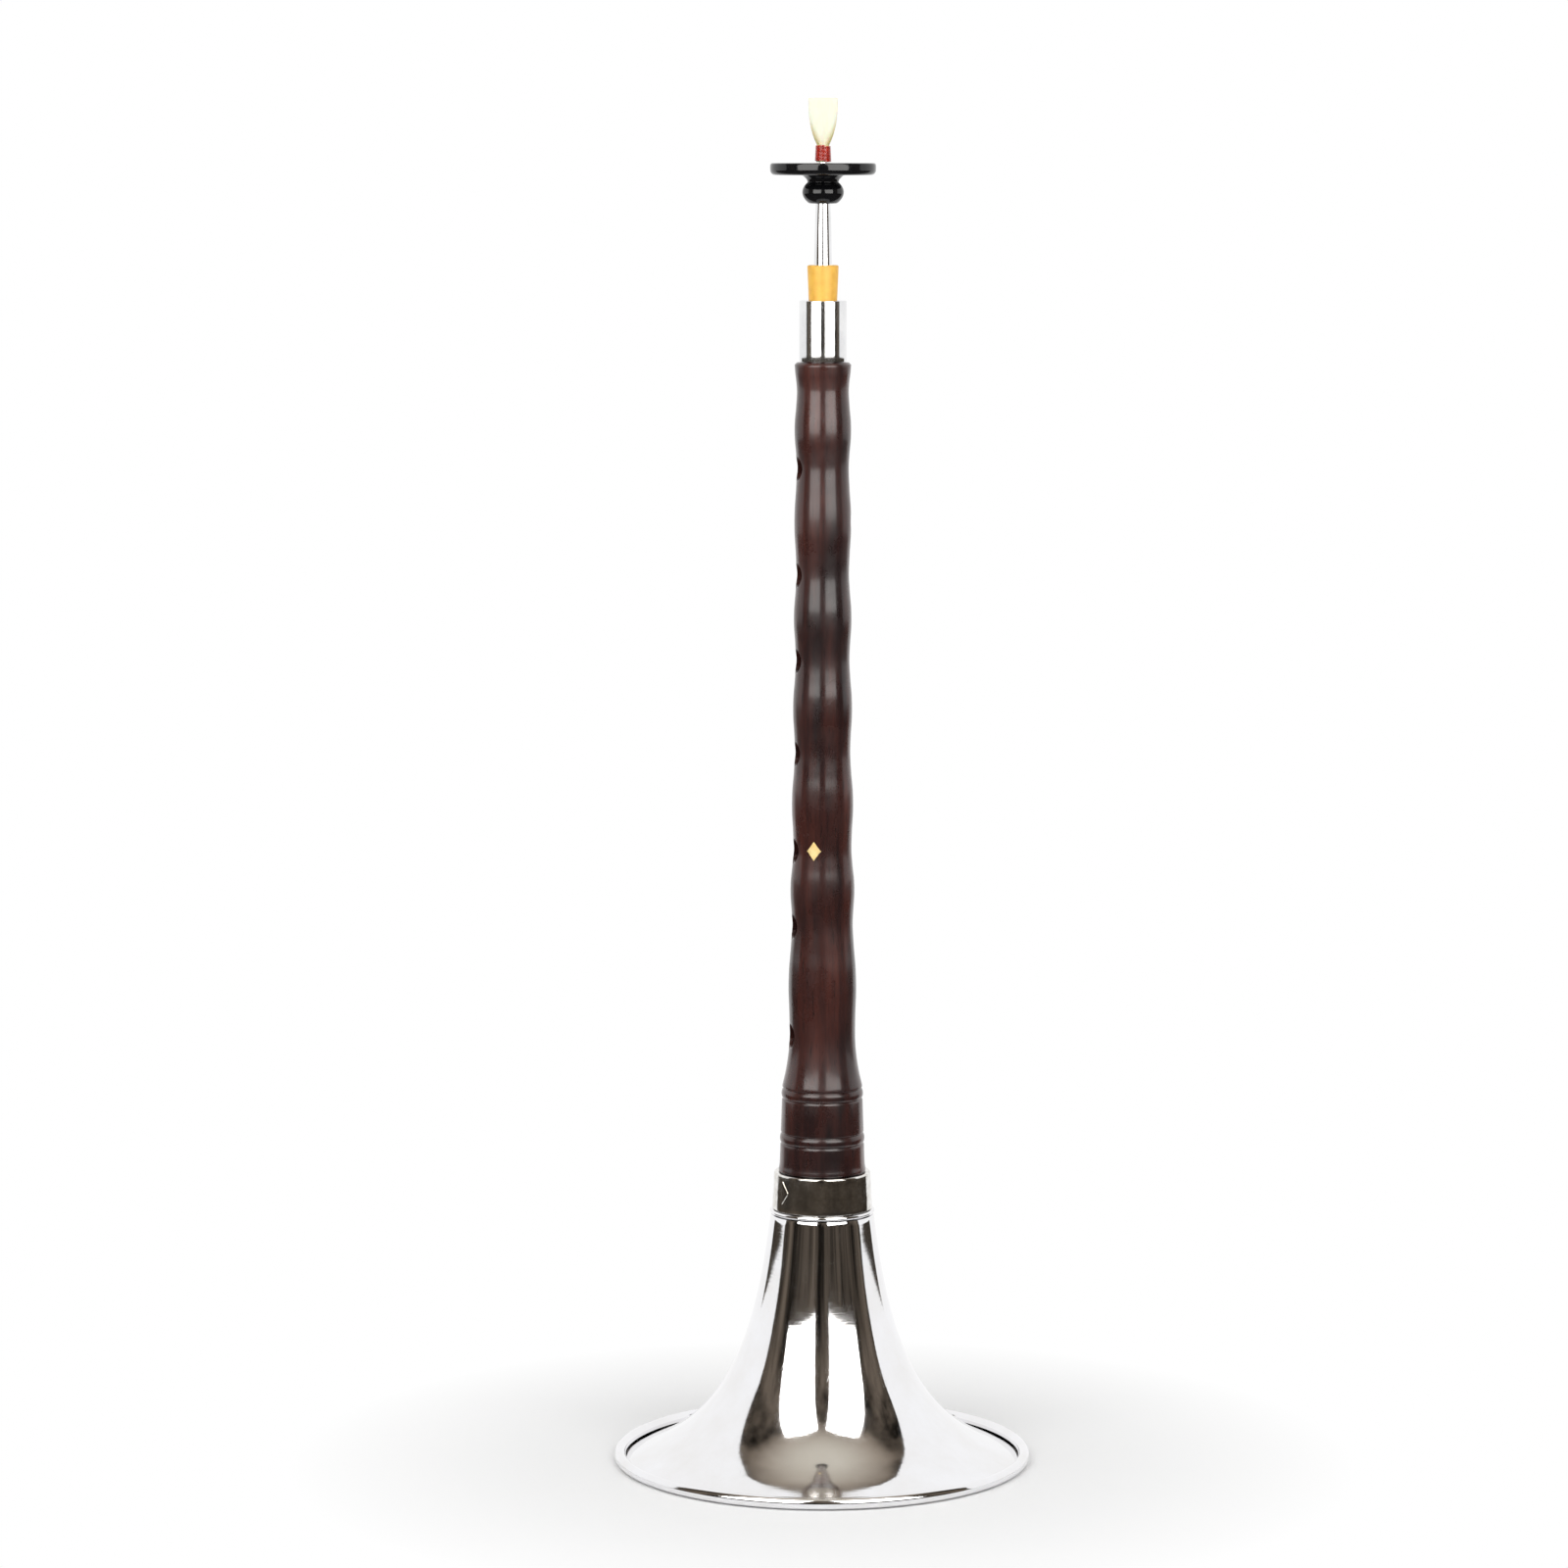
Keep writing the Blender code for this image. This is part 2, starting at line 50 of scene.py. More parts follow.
# Bodies and material slots of the nodes that are turned on a lathe or spun.
TURNED = {
    "bell_shell": ("bell", "bell_nickel", 176),
    "rim_wire": ("bell", "rim_iron", 96),
    "neck_ring": ("bell", "bell_nickel", 128),
    "neck_band": ("bell", "band_nickel", 128),
    "tenon_cork": ("cork", "cork", 96),
    "pipe": ("pipe", "rosewood", 96),
    "ferrule": ("pipe", "ferrule_steel", 128),
    "core_plug": ("plug", "plug_yellow", 96),
    "staple": ("staple", "staple_chrome", 96),
    "lip_disc": ("disc", "disc_black", 160),
}
CORNER_LIMIT = 38.0
WIRE_CORNER_LIMIT = 70.0
WIRES = ("rim_wire", "neck_ring")
ROW_LENGTH = 0.0008
ROWS_AT_MOST = 8
EDGE_SOFTENING = 0.00012
SAME_PLACE = 1e-6
SAME_PLANE = 0.00001
PLACE_DIGITS = 6
LEVEL_WEIGHT = 1000
SHARP_ANGLE = 35.0
WIRE_SHARP_ANGLE = 80.0
MARK_SHARP_ANGLE = 30.0

# Finger holes, as heights above the ground along the front and one at the back.
HOLE_HEIGHTS = (0.1292, 0.1621, 0.1848, 0.2137, 0.2413, 0.2667, 0.2981)
HOLE_RADIUS = 0.0034
THUMB_HOLE_RADIUS = 0.0032
THUMB_HOLE_HEIGHT = (HOLE_HEIGHTS[-1] + HOLE_HEIGHTS[-2]) / 2
HOLE_LIP = 0.0005
HOLE_TOOL_REACH = 0.003
HOLE_TOOL_SPREAD = 6
HOLE_SIDES = 48

# Reed: half width and half thickness at the base, the throat and the tip.
REED_BASE = (0.00195, 0.00195)
REED_THROAT = (0.00178, 0.00175)
REED_TIP = (0.00430, 0.00070)
THROAT_HEIGHT = 0.0049
FAN_SWEEP = (2.7, 1.3)
LENS_POWER = 0.45
REED_TURN = 78.0
CANE_WALL = 0.00038
TIP_WALL = 0.00028
REED_ROWS = 40
REED_SIDES = 64
WIRE_RADIUS = 0.00018
WIRE_PITCH = 2.04
WIRE_SIDES = 10
WIRE_STEPS = 48

# Plain diamonds: azimuth, height, half width, half height and rise.
PIPE_MARK = (61.0, 0.1854, 0.0021, 0.0028, 0.00016)
BAND_MARK = (24.0, 0.0828, 0.0026, 0.0034, 0.00018)
MARK_COLUMNS = 24

# Studio: soft panels and the darker room behind the camera, seen only in reflections.
PANEL_AZIMUTH = 34.0
PANEL_REACH = 0.735
PANEL_WIDTH = 0.60
PANEL_FOOT = 0.25
PANEL_TOP = 1.45
PANEL_LEAN = 0.15
PANEL_GLOW = 5.0
LAMP_POWER = 9.0
LAMP_REACH = 1.35
LAMP_HEIGHT = 1.35
LAMP_AIM = 0.2
LAMP_SIZE = (1.05, 1.5)
ROOM_REACH = 2.4
ROOM_GLOW = 0.055
ROOM_SPREADS = ((-1.0, 128.0), (12.0, 112.0), (40.0, 90.0), (75.0, 80.0), (100.0, 56.0), (116.0, 12.0))
ROOM_STEPS = 48
ROOM_ROWS = 40
SEAM_RIPPLE = 36.0
CREAM_GLOW = 0.62
SEAM_GLOW = 0.16
GROUND_REACH = 0.16
GROUND_HEIGHT = 0.0006
GROUND_STREAKS = 0.7
WORLD_FILL = 0.55
FLOOR_SIZE = 12.0
FLOOR_LEVEL = -0.0002
FLOOR_FADE = (0.068, 0.16)


# Colours.
WOOD_BROWN = (0.014, 0.0055, 0.0055, 1.0)
WOOD_RED = (0.075, 0.018, 0.012, 1.0)
WOOD_STREAK = (0.014, 0.006, 0.007, 1.0)
WOOD_PORE = (0.008, 0.004, 0.004, 1.0)
PLUG_LIGHT = (0.94, 0.53, 0.065, 1.0)
PLUG_DARK = (0.82, 0.42, 0.045, 1.0)
DISC_BLACK = (0.006, 0.006, 0.007, 1.0)
DISC_SCRATCH = (0.03, 0.03, 0.03, 1.0)
# Bark colour; towards the reed's sides it also stands for painted shade.
CANE_BARK_AND_SHADE = (0.74, 0.62, 0.27, 1.0)
CANE_PALE = (0.95, 0.88, 0.70, 1.0)
CANE_LINE = (0.70, 0.55, 0.30, 1.0)
CANE_PORE = (0.55, 0.42, 0.20, 1.0)
ENAMEL_RED = (0.62, 0.030, 0.012, 1.0)
ENAMEL_DEEP = (0.45, 0.018, 0.008, 1.0)
CORK_LIGHT = (0.56, 0.37, 0.20, 1.0)
CORK_DARK = (0.42, 0.26, 0.13, 1.0)
CORK_SPECK = (0.14, 0.07, 0.04, 1.0)
FLOOR_PALE = (0.97, 0.97, 0.97, 1.0)
FLOOR_WHITE = (1.0, 1.0, 0.995, 1.0)
ROOM_CREAM = (1.0, 0.93, 0.80, 1.0)
ROOM_BROWN = (1.0, 0.80, 0.62, 1.0)
PANEL_WHITE = (1.0, 0.985, 0.96, 1.0)

# Metals: light and dark tone, least and most roughness, turning lines, mottle, relief and its strength.
METALS = {
    "bell_nickel": ((0.90, 0.90, 0.92, 1.0), (0.85, 0.84, 0.84, 1.0),
                    0.04, 0.10, 1500.0, 60.0, 0.00022, 0.09),
    "band_nickel": ((0.86, 0.85, 0.83, 1.0), (0.62, 0.59, 0.54, 1.0),
                    0.07, 0.20, 900.0, 420.0, 0.00012, 0.22),
    "rim_iron": ((0.38, 0.37, 0.36, 1.0), (0.24, 0.20, 0.17, 1.0),
                 0.30, 0.50, 2200.0, 300.0, 0.00010, 0.30),
    "ferrule_steel": ((0.86, 0.86, 0.86, 1.0), (0.76, 0.76, 0.77, 1.0),
                      0.08, 0.18, 2600.0, 120.0, 0.00008, 0.12),
    "staple_chrome": ((0.88, 0.88, 0.89, 1.0), (0.80, 0.80, 0.80, 1.0),
                      0.04, 0.12, 3200.0, 160.0, 0.00006, 0.10),
    "gilt": ((1.0, 0.82, 0.42, 1.0), (0.95, 0.70, 0.28, 1.0),
             0.42, 0.55, 3000.0, 600.0, 0.00004, 0.15),
}


def direction(azimuth):
    """Level direction at an azimuth counted from the finger holes' side."""
    turn = math.radians(azimuth)
    return Vector((math.sin(turn), -math.cos(turn), 0.0))


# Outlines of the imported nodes.

def section_points(name):
    """The node's corners in the half plane nearest +X that has any, with the edges between them."""
    node = bpy.data.objects[name]
    points = [node.matrix_world @ vertex.co for vertex in node.data.vertices]
    turns = [math.atan2(point.y, point.x) for point in points]
    chosen = min(turns, key=abs)
    keys = []
    for point, turn in zip(points, turns):
        radius = math.hypot(point.x, point.y)
        level = abs(turn - chosen) * radius < SAME_PLANE
        place = (round(radius, PLACE_DIGITS), round(point.z, PLACE_DIGITS))
        keys.append(place if level else None)
    links = {key: set() for key in keys if key}
    for edge in node.data.edges:
        first, second = (keys[index] for index in edge.vertices)
        if first and second and first != second:
            links[first].add(second)
            links[second].add(first)
    return links


def close_flat_rings(links):
    """Joins loose ends across flat rings, whose corners share no edge in the section."""
    loose = sorted(key for key in links if len(links[key]) < 2)
    while len(loose) > 1:
        first = loose.pop(0)
        partner = min(
            loose,
            key=lambda key: (abs(key[1] - first[1]) * LEVEL_WEIGHT, abs(key[0] - first[0])),
        )
        loose.remove(partner)
        links[first].add(partner)
        links[partner].add(first)


def section_of(name):
    """Closed outline of a turned node as radius and height, anticlockwise."""
    links = section_points(name)
    close_flat_rings(links)
    start = max(links, key=lambda key: (key[0], key[1]))
    loop = [start]
    seen = {start}
    while True:
        onward = sorted(key for key in links[loop[-1]] if key not in seen)
        if not onward:
            break
        loop.append(onward[0])
        seen.add(onward[0])
    area = sum(a[0] * b[1] - b[0] * a[1] for a, b in zip(loop, loop[1:] + loop[:1]))
    if area < 0:
        loop.reverse()
    return [Vector(point) for point in loop]


def is_corner(before, point, after, limit):
    """Whether the outline turns sharply at a point."""
    inward = point - before
    outward = after - point
    if inward.length < SAME_PLACE or outward.length < SAME_PLACE:
        return False
    return math.degrees(inward.angle(outward)) > limit


def curve_between(before, start, end, after, rows):
    """Points from start up to but without end, on a smooth curve through both."""
    points = []
    for row in range(rows):
        t = row / rows
        leave = (end - before) * 0.5 if before is not None else end - start
        arrive = (after - start) * 0.5 if after is not None else end - start
        reach = (end - start).length
        leave = leave.normalized() * reach if leave.length > SAME_PLACE else leave
        arrive = arrive.normalized() * reach if arrive.length > SAME_PLACE else arrive
        points.append(
            start * (2 * t ** 3 - 3 * t ** 2 + 1)
            + leave * (t ** 3 - 2 * t ** 2 + t)
            + end * (3 * t ** 2 - 2 * t ** 3)
            + arrive * (t ** 3 - t ** 2)
        )
    return points


def smooth_section(section, limit):
    """Finer outline: curves between corners, and a small round on each corner."""
    count = len(section)
    corner = [
        is_corner(section[i - 1], section[i], section[(i + 1) % count], limit)
        for i in range(count)
    ]
    fine = []
    for i in range(count):
        start, end = section[i], section[(i + 1) % count]
        before = None if corner[i] else section[i - 1]
        after = None if corner[(i + 1) % count] else section[(i + 2) % count]
        length = (end - start).length
        straight = before is None and after is None
        rows = 1 if straight else min(ROWS_AT_MOST, max(2, math.ceil(length / ROW_LENGTH)))
        points = curve_between(before, start, end, after, rows)
        if corner[i]:
            onward = points[1] if len(points) > 1 else end
            back = section[i - 1]
            ease = min(EDGE_SOFTENING, (onward - start).length * 0.3, (back - start).length * 0.3)
            enter = start + (back - start).normalized() * ease
            leave = start + (onward - start).normalized() * ease
            points[0:1] = [enter, (enter + start * 2 + leave) / 4, leave]
        fine.extend(points)
    return fine


def outer_radius(section, height):
    """Largest radius of an outline at a height."""
    best = 0.0
    for a, b in zip(section, section[1:] + section[:1]):
        low, high = sorted((a.y, b.y))
        if low <= height <= high and high > low:
            share = (height - a.y) / (b.y - a.y)
            best = max(best, a.x + (b.x - a.x) * share)
    return best


# Meshes of the visible pieces.

def object_from(name, vertices, faces, sharp=SHARP_ANGLE):
    """New smooth-shaded object in the scene."""
    mesh = bpy.data.meshes.new(name)
    mesh.from_pydata(vertices, [], faces)
    mesh.update()
    piece = bpy.data.objects.new(name, mesh)
    bpy.context.collection.objects.link(piece)
    mesh.shade_smooth()
    mesh.set_sharp_from_angle(angle=math.radians(sharp))
    return piece


def turned(name, section, steps):
    """Closed outline turned round the upright axis."""
    vertices = []
    for step in range(steps):
        turn = math.tau * step / steps
        vertices.extend((p.x * math.cos(turn), p.x * math.sin(turn), p.y) for p in section)
    count = len(section)
    faces = []
    for step in range(steps):
        a = step * count
        b = (step + 1) % steps * count
        for i in range(count):
            j = (i + 1) % count
            faces.append((a + i, b + i, b + j, a + j))
    return object_from(name, vertices, faces)


def tube_faces(rings, sides, closed):
    """Faces between rings of corners, with flat ends unless the rings close on themselves."""
    faces = []
    for ring in range(rings if closed else rings - 1):
        a = ring * sides
        b = (ring + 1) % rings * sides
        for i in range(sides):
            j = (i + 1) % sides
            faces.append((a + i, a + j, b + j, b + i))
    if not closed:
        faces.append(tuple(range(sides - 1, -1, -1)))
        faces.append(tuple(range((rings - 1) * sides, rings * sides)))
    return faces


def face_outward(piece):
    """Turns a closed piece's faces outward."""
    work = bmesh.new()
    work.from_mesh(piece.data)
    bmesh.ops.recalc_face_normals(work, faces=work.faces)
    work.to_mesh(piece.data)
    work.free()


def hole_cutter(height, side, radius, surface):
    """Round tool for one finger hole, widened at the surface for the eased edge."""
    stations = (
        (0.0, radius),
        (surface - HOLE_LIP, radius),
        (surface - HOLE_LIP * 0.3, radius + HOLE_LIP * 0.25),
        (surface + HOLE_LIP * 0.1, radius + HOLE_LIP * 0.9),
        (surface + HOLE_TOOL_REACH, radius + HOLE_LIP * HOLE_TOOL_SPREAD),
    )
    vertices = []
    for reach, width in stations:
        for step in range(HOLE_SIDES):
            turn = math.tau * step / HOLE_SIDES
            around = width * math.cos(turn) * side
            vertices.append((around, reach * side, height + width * math.sin(turn)))
    cutter = object_from("hole_tool", vertices, tube_faces(len(stations), HOLE_SIDES, False))
    face_outward(cutter)
    return cutter


def bore_holes(pipe, section):
    """Cuts the seven finger holes and the thumb hole."""
    wanted = [(height, -1, HOLE_RADIUS) for height in HOLE_HEIGHTS]
    wanted.append((THUMB_HOLE_HEIGHT, 1, THUMB_HOLE_RADIUS))
    cutters = []
    for height, side, radius in wanted:
        cutter = hole_cutter(height, side, radius, outer_radius(section, height))
        modifier = pipe.modifiers.new("hole", "BOOLEAN")
        modifier.operation = "DIFFERENCE"
        modifier.solver = "EXACT"
        modifier.object = cutter
        cutters.append(cutter)
    bpy.context.view_layer.update()
    graph = bpy.context.evaluated_depsgraph_get()
    cut = bpy.data.meshes.new_from_object(pipe.evaluated_get(graph))
    pipe.modifiers.clear()
    pipe.data = cut
    cut.set_sharp_from_angle(angle=math.radians(SHARP_ANGLE))
    for cutter in cutters:
        bpy.data.objects.remove(cutter)


def reed_size(height, length):
    """Half width and half thickness of the reed at a height above its seat."""
    if height <= THROAT_HEIGHT:
        share = height / THROAT_HEIGHT
        return tuple(a + (b - a) * share for a, b in zip(REED_BASE, REED_THROAT))
    left = min(1.0, (length - height) / (length - THROAT_HEIGHT))
    return tuple(b + (a - b) * left ** power for a, b, power in zip(REED_THROAT, REED_TIP, FAN_SWEEP))


def reed_ring(share, length, seat, inset):
    """One level ring of the reed: round below, lens-shaped towards the tip."""
    height = share * length
    wide, thick = reed_size(height, length)
    turn_wide = math.radians(REED_TURN)
    points = []
    for step in range(REED_SIDES):
        turn = math.tau * step / REED_SIDES
        across = (wide - inset) * math.cos(turn)
        lens = abs(math.sin(turn)) ** (LENS_POWER * share)
        deep = (thick - inset) * math.sin(turn) * lens
        points.append((
            across * math.cos(turn_wide) - deep * math.sin(turn_wide),
            across * math.sin(turn_wide) + deep * math.cos(turn_wide),
            seat + height,
        ))
    return points


def make_reed(seat, top):
    """Two cane blades as one flattened tube, open at the tip, with measures for the scrape and for the
    painted shade on its lower sides.
    """
    length = top - seat
    shares = [row / (REED_ROWS - 1) for row in range(REED_ROWS)]
    vertices = []
    for share in shares:
        vertices.extend(reed_ring(share, length, seat, 0.0))
    for share in reversed(shares):
        wall = CANE_WALL + (TIP_WALL - CANE_WALL) * share
        vertices.extend(reed_ring(share, length, seat, wall))
    reed = object_from("cane_blades", vertices, tube_faces(REED_ROWS * 2, REED_SIDES, True))
    across = reed.data.attributes.new("across", "FLOAT", "POINT")
    along = reed.data.attributes.new("along", "FLOAT", "POINT")
    for index, vertex in enumerate(vertices):
        turn = math.tau * (index % REED_SIDES) / REED_SIDES
        across.data[index].value = math.cos(turn)
        along.data[index].value = (vertex[2] - seat) / length
    return reed


def make_winding(section):
    """Close turns of enamelled wire round the reed's base, as one unbroken tube."""
    low = min(p.y for p in section) + WIRE_RADIUS
    high = max(p.y for p in section) - WIRE_RADIUS
    turns = int((high - low) / (WIRE_RADIUS * WIRE_PITCH))
    count = turns * WIRE_STEPS + 1
    vertices = []
    for step in range(count):
        share = step / (count - 1)
        height = low + (high - low) * share
        turn = math.tau * turns * share
        ring = outer_radius(section, height) - WIRE_RADIUS
        for side in range(WIRE_SIDES):
            lean = math.tau * side / WIRE_SIDES
            reach = ring + WIRE_RADIUS * math.cos(lean)
            level = height + WIRE_RADIUS * math.sin(lean)
            vertices.append((reach * math.cos(turn), reach * math.sin(turn), level))
    return object_from("wire_winding", vertices, tube_faces(count, WIRE_SIDES, False), WIRE_SHARP_ANGLE)


def lozenge(name, section, azimuth, height, half_wide, half_high, rise):
    """Small raised diamond that follows a turned surface."""
    vertices = []
    for column in range(MARK_COLUMNS + 1):
        across = 2 * column / MARK_COLUMNS - 1
        tall = max(half_high * (1 - abs(across)), rise)
        for level, lift in ((tall, rise), (-tall, rise), (-tall, -rise), (tall, -rise)):
            reach = outer_radius(section, height + level) + lift
            turn = math.radians(azimuth) + across * half_wide / reach
            vertices.append((reach * math.sin(turn), -reach * math.cos(turn), height + level))
    piece = object_from(name, vertices, tube_faces(MARK_COLUMNS + 1, 4, False), MARK_SHARP_ANGLE)
    face_outward(piece)
    return piece


# Short calls for building shaders.

def put(tree, kind, sockets=None, **settings):
    """Adds a node, sets its options, and joins or sets its sockets."""
    node = tree.nodes.new(kind)
    for key, value in settings.items():
        setattr(node, key, value)
    for key, value in (sockets or {}).items():
        if isinstance(value, bpy.types.NodeSocket):
            tree.links.new(value, node.inputs[key])
        else:
            node.inputs[key].default_value = value
    return node


def noise(tree, vector, scale, detail=4.0, roughness=0.55):
    """Noise value from a vector; scale can be a number or a joined socket."""
    sockets = {"Vector": vector, "Scale": scale, "Detail": detail, "Roughness": roughness}
    return put(tree, "ShaderNodeTexNoise", sockets).outputs[0]


def remap(tree, value, low, high, to_low, to_high):
    """Value moved from one range to another, kept inside the second."""
    sockets = {"Value": value, "From Min": low, "From Max": high, "To Min": to_low, "To Max": to_high}
    return put(tree, "ShaderNodeMapRange", sockets).outputs[0]


def blend(tree, share, first, second):
    """Colour mixed from two by a share."""
    return put(tree, "ShaderNodeMix", {0: share, 6: first, 7: second}, data_type="RGBA").outputs[2]


def sum_of(tree, first, second, operation="ADD"):
    """Two values joined by an operation."""
    return put(tree, "ShaderNodeMath", {0: first, 1: second}, operation=operation).outputs[0]


def single(tree, value, operation):
    """One value changed by an operation."""
    return put(tree, "ShaderNodeMath", {0: value}, operation=operation).outputs[0]


def place_of(tree, stretch=(1.0, 1.0, 1.0)):
    """The piece's own coordinates in metres, stretched."""
    own = put(tree, "ShaderNodeTexCoord").outputs["Object"]
    return put(tree, "ShaderNodeMapping", {"Vector": own, "Scale": stretch}).outputs[0]


def new_group(name, inputs, outputs):
    """Empty shader group with named inputs and outputs."""
    tree = bpy.data.node_groups.new(name, "ShaderNodeTree")
    for label, value in inputs:
        socket = tree.interface.new_socket(label, in_out="INPUT", socket_type="NodeSocketFloat")
        socket.default_value = value
    for label in outputs:
        tree.interface.new_socket(label, in_out="OUTPUT", socket_type="NodeSocketFloat")
    return tree, put(tree, "NodeGroupInput").outputs, put(tree, "NodeGroupOutput").inputs


SCRATCH_RUNS = ((0.5, (1.0, 0.9, 0.05)), (-0.7, (0.06, 0.05, 1.0)))
SCRATCH_WIDTH = 0.012


def smudges_group():
    """Uneven polish from handling: a roughness between two values."""
    tree, given, result = new_group("Handling Smudges", [("Scale", 60.0), ("Low", 0.05), ("High", 0.15)],
                                    ["Roughness"])
    cloud = noise(tree, place_of(tree), given["Scale"], 6.0, 0.65)
    share = put(tree, "ShaderNodeMapRange", {"Value": cloud, "From Min": 0.38, "From Max": 0.68,
                                             "To Min": given["Low"], "To Max": given["High"]})
    tree.links.new(share.outputs[0], result["Roughness"])
    return tree


def turning_group():
    """Fine rings left by spinning and turning, as a height."""
    tree, given, result = new_group("Turning Lines", [("Lines", 2500.0)], ["Height"])
    rings = noise(tree, place_of(tree, (0.012, 0.012, 1.0)), given["Lines"], 3.0, 0.7)
    tree.links.new(rings, result["Height"])
    return tree


def scratches_group():
    """Thin crossing scratches, as a mask."""
    tree, given, result = new_group("Fine Scratches", [("Scale", 300.0)], ["Mask"])
    found = None
    for lean, stretch in SCRATCH_RUNS:
        own = put(tree, "ShaderNodeTexCoord").outputs["Object"]
        turned_place = put(tree, "ShaderNodeMapping", {"Vector": own, "Scale": stretch,
                                                       "Rotation": (lean, lean * 0.4, 0.2)})
        streak = noise(tree, turned_place.outputs[0], given["Scale"], 2.0, 0.5)
        ridge = sum_of(tree, streak, 0.5, "SUBTRACT")
        thin = remap(tree, single(tree, ridge, "ABSOLUTE"), 0.0, SCRATCH_WIDTH, 1.0, 0.0)
        found = thin if found is None else sum_of(tree, found, thin, "MAXIMUM")
    gaps = remap(tree, noise(tree, place_of(tree), 90.0), 0.5, 0.62, 0.0, 1.0)
    tree.links.new(sum_of(tree, found, gaps, "MULTIPLY"), result["Mask"])
    return tree


def fibres_group():
    """Long fibres and pores that run up the piece, as two values."""
    tree, given, result = new_group("Upright Fibres", [("Scale", 700.0)], ["Fibre", "Pore"])
    fibre = noise(tree, place_of(tree, (1.0, 1.0, 0.03)), given["Scale"], 5.0, 0.7)
    pore = noise(tree, place_of(tree, (1.0, 1.0, 0.09)), sum_of(tree, given["Scale"], 2.6, "MULTIPLY"))
    tree.links.new(fibre, result["Fibre"])
    tree.links.new(remap(tree, pore, 0.60, 0.68, 0.0, 1.0), result["Pore"])
    return tree


SMUDGES = smudges_group()
TURNING = turning_group()
SCRATCHES = scratches_group()
FIBRES = fibres_group()


def use(tree, group, **values):
    """Outputs of a shared group placed in a material."""
    node = tree.nodes.new("ShaderNodeGroup")
    node.node_tree = group
    for key, value in values.items():
        node.inputs[key].default_value = value
    return node.outputs


def new_material(name, **sockets):
    """Principled material with fixed values on the shader's own sockets."""
    material = bpy.data.materials.new(name)
    material.use_nodes = True
    shader = material.node_tree.nodes["Principled BSDF"]
    for key, value in sockets.items():
        shader.inputs[key.replace("_", " ")].default_value = value
    return material, material.node_tree, shader


def set_look(tree, shader, colour=None, roughness=None, height=None, depth=0.0001, strength=0.3):
    """Joins colour, roughness and relief to the shader."""
    if colour is not None:
        tree.links.new(colour, shader.inputs["Base Color"])
    if roughness is not None:
        tree.links.new(roughness, shader.inputs["Roughness"])
    if height is not None:
        relief = put(tree, "ShaderNodeBump", {"Height": height, "Strength": strength, "Distance": depth})
        tree.links.new(relief.outputs[0], shader.inputs["Normal"])


# Materials.

def metal(name, light, dark, low, high, lines, mottle, depth, strength):
    """Polished metal: uneven polish, turning lines, scratches and a slight waviness."""
    material, tree, shader = new_material(name, Metallic=1.0)
    scratch = use(tree, SCRATCHES, Scale=260.0)["Mask"]
    cloud = noise(tree, place_of(tree), mottle, 5.0, 0.6)
    tone = blend(tree, remap(tree, cloud, 0.35, 0.7, 0.0, 1.0), light, dark)
    polish = use(tree, SMUDGES, Scale=55.0, Low=low, High=high)["Roughness"]
    worn = sum_of(tree, polish, sum_of(tree, scratch, 0.05, "MULTIPLY"))
    rings = use(tree, TURNING, Lines=lines)["Height"]
    height = sum_of(tree, sum_of(tree, rings, 0.30, "MULTIPLY"), cloud)
    height = sum_of(tree, height, sum_of(tree, scratch, 0.10, "MULTIPLY"), "SUBTRACT")
    set_look(tree, shader, tone, worn, height, depth, strength)
    return material


def rosewood():
    """Dark red-brown wood: streaks, fine pores and a thin satin polish."""
    material, tree, shader = new_material("rosewood", Coat_Weight=0.45, Coat_Roughness=0.13,
                                          Specular_IOR_Level=0.35)
    fibres = use(tree, FIBRES, Scale=620.0)
    slow = noise(tree, place_of(tree, (1.0, 1.0, 0.16)), 110.0, 4.0, 0.6)
    brown = blend(tree, remap(tree, slow, 0.36, 0.66, 0.0, 1.0), WOOD_BROWN,
                  WOOD_RED)
    streaked = blend(tree, remap(tree, fibres["Fibre"], 0.40, 0.70, 0.0, 0.65), brown,
                     WOOD_STREAK)
    colour = blend(tree, sum_of(tree, fibres["Pore"], 0.7, "MULTIPLY"), streaked, WOOD_PORE)
    polish = use(tree, SMUDGES, Scale=70.0, Low=0.24, High=0.40)["Roughness"]
    height = sum_of(tree, sum_of(tree, fibres["Fibre"], 0.5, "MULTIPLY"), fibres["Pore"], "SUBTRACT")
    set_look(tree, shader, colour, polish, height, 0.00005, 0.25)
    return material


def yellow_plug():
    """Mottled yellow moulding with faint turning lines."""
    material, tree, shader = new_material("plug_yellow", Subsurface_Weight=0.08, Subsurface_Scale=0.002)
    cloud = noise(tree, place_of(tree), 320.0, 5.0, 0.6)
    colour = blend(tree, remap(tree, cloud, 0.35, 0.68, 0.0, 1.0), PLUG_LIGHT,
                   PLUG_DARK)
    polish = use(tree, SMUDGES, Scale=220.0, Low=0.36, High=0.55)["Roughness"]
    rings = use(tree, TURNING, Lines=2600.0)["Height"]
    set_look(tree, shader, colour, polish, sum_of(tree, rings, cloud), 0.00006, 0.25)
    return material


def black_disc():
    """Deep black gloss with faint smudges and hairline scratches."""
    material, tree, shader = new_material("disc_black", Specular_IOR_Level=0.40)
    scratch = use(tree, SCRATCHES, Scale=420.0)["Mask"]
    polish = use(tree, SMUDGES, Scale=90.0, Low=0.06, High=0.16)["Roughness"]
    colour = blend(tree, sum_of(tree, scratch, 0.35, "MULTIPLY"), DISC_BLACK,
                   DISC_SCRATCH)
    rings = use(tree, TURNING, Lines=1800.0)["Height"]
    set_look(tree, shader, colour, polish, rings, 0.00002, 0.12)
    return material


